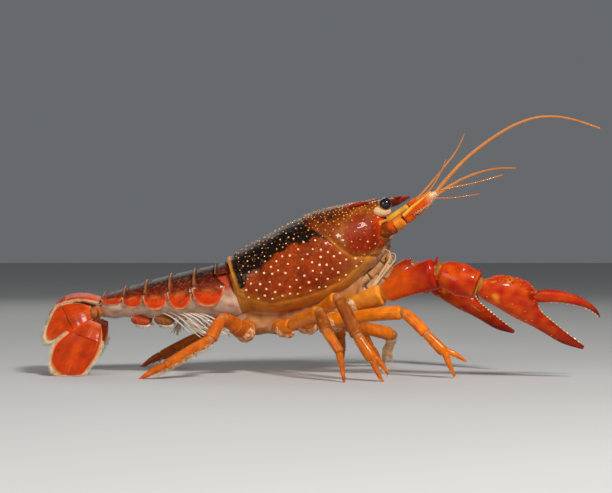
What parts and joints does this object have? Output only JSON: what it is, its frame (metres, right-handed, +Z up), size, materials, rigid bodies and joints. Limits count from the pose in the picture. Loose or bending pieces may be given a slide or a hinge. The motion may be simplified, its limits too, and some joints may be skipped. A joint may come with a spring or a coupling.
{
  "type": "red swamp crayfish",
  "caption": "Life-size red swamp crayfish, standing still on its walking legs with claws held low in front and long feelers raised.",
  "frame": {"origin": "middle of the animal's bounding box, on the floor that it stands on", "axes": "+X forward, from the tail fan towards the head; +Y to the animal's left; +Z up"},
  "size_m": [0.1358, 0.0664, 0.0632],
  "materials": {
    "carapace": "glossy horny shell, black-brown above and rusty red at the sides, with pale raised dots",
    "abdomen_shell": "glossy shell, near black above, dark red at the sides, orange edges",
    "claw_shell": "glossy saturated red shell with small knobs",
    "leg_shell": "glossy orange shell",
    "eye": "glossy black",
    "antenna": "orange tan, slightly glossy",
    "mouthpart": "pale beige with hairs",
    "tail_fan": "glossy orange red with a pale hairy edge"
  },
  "bodies": {
    "root": {"abdomen_1": "abdomen_shell", "abdomen_2": "abdomen_shell", "abdomen_3": "abdomen_shell", "abdomen_4": "abdomen_shell", "abdomen_5": "abdomen_shell", "abdomen_6": "abdomen_shell", "antenna_left_base": "antenna", "antenna_left_whip": "antenna", "antenna_right_base": "antenna", "antenna_right_whip": "antenna", "antennule_left": "antenna", "antennule_right": "antenna", "cheliped_left_arm": "claw_shell", "cheliped_left_claw": "claw_shell", "cheliped_left_finger": "claw_shell", "cheliped_left_wrist": "claw_shell", "cheliped_right_arm": "claw_shell", "cheliped_right_claw": "claw_shell", "cheliped_right_finger": "claw_shell", "cheliped_right_wrist": "claw_shell", "eye_left": "eye", "eye_right": "eye", "head": "carapace", "leg_left_2_lower": "leg_shell", "leg_left_2_upper": "leg_shell", "leg_left_3_lower": "leg_shell", "leg_left_3_upper": "leg_shell", "leg_left_4_lower": "leg_shell", "leg_left_4_upper": "leg_shell", "leg_left_5_lower": "leg_shell", "leg_left_5_upper": "leg_shell", "leg_right_2_lower": "leg_shell", "leg_right_2_upper": "leg_shell", "leg_right_3_lower": "leg_shell", "leg_right_3_upper": "leg_shell", "leg_right_4_lower": "leg_shell", "leg_right_4_upper": "leg_shell", "leg_right_5_lower": "leg_shell", "leg_right_5_upper": "leg_shell", "maxilliped_left": "mouthpart", "maxilliped_right": "mouthpart", "telson": "tail_fan", "thorax": "carapace", "uropod_left_inner": "tail_fan", "uropod_left_outer": "tail_fan", "uropod_right_inner": "tail_fan", "uropod_right_outer": "tail_fan"}
  },
  "joints": []
}
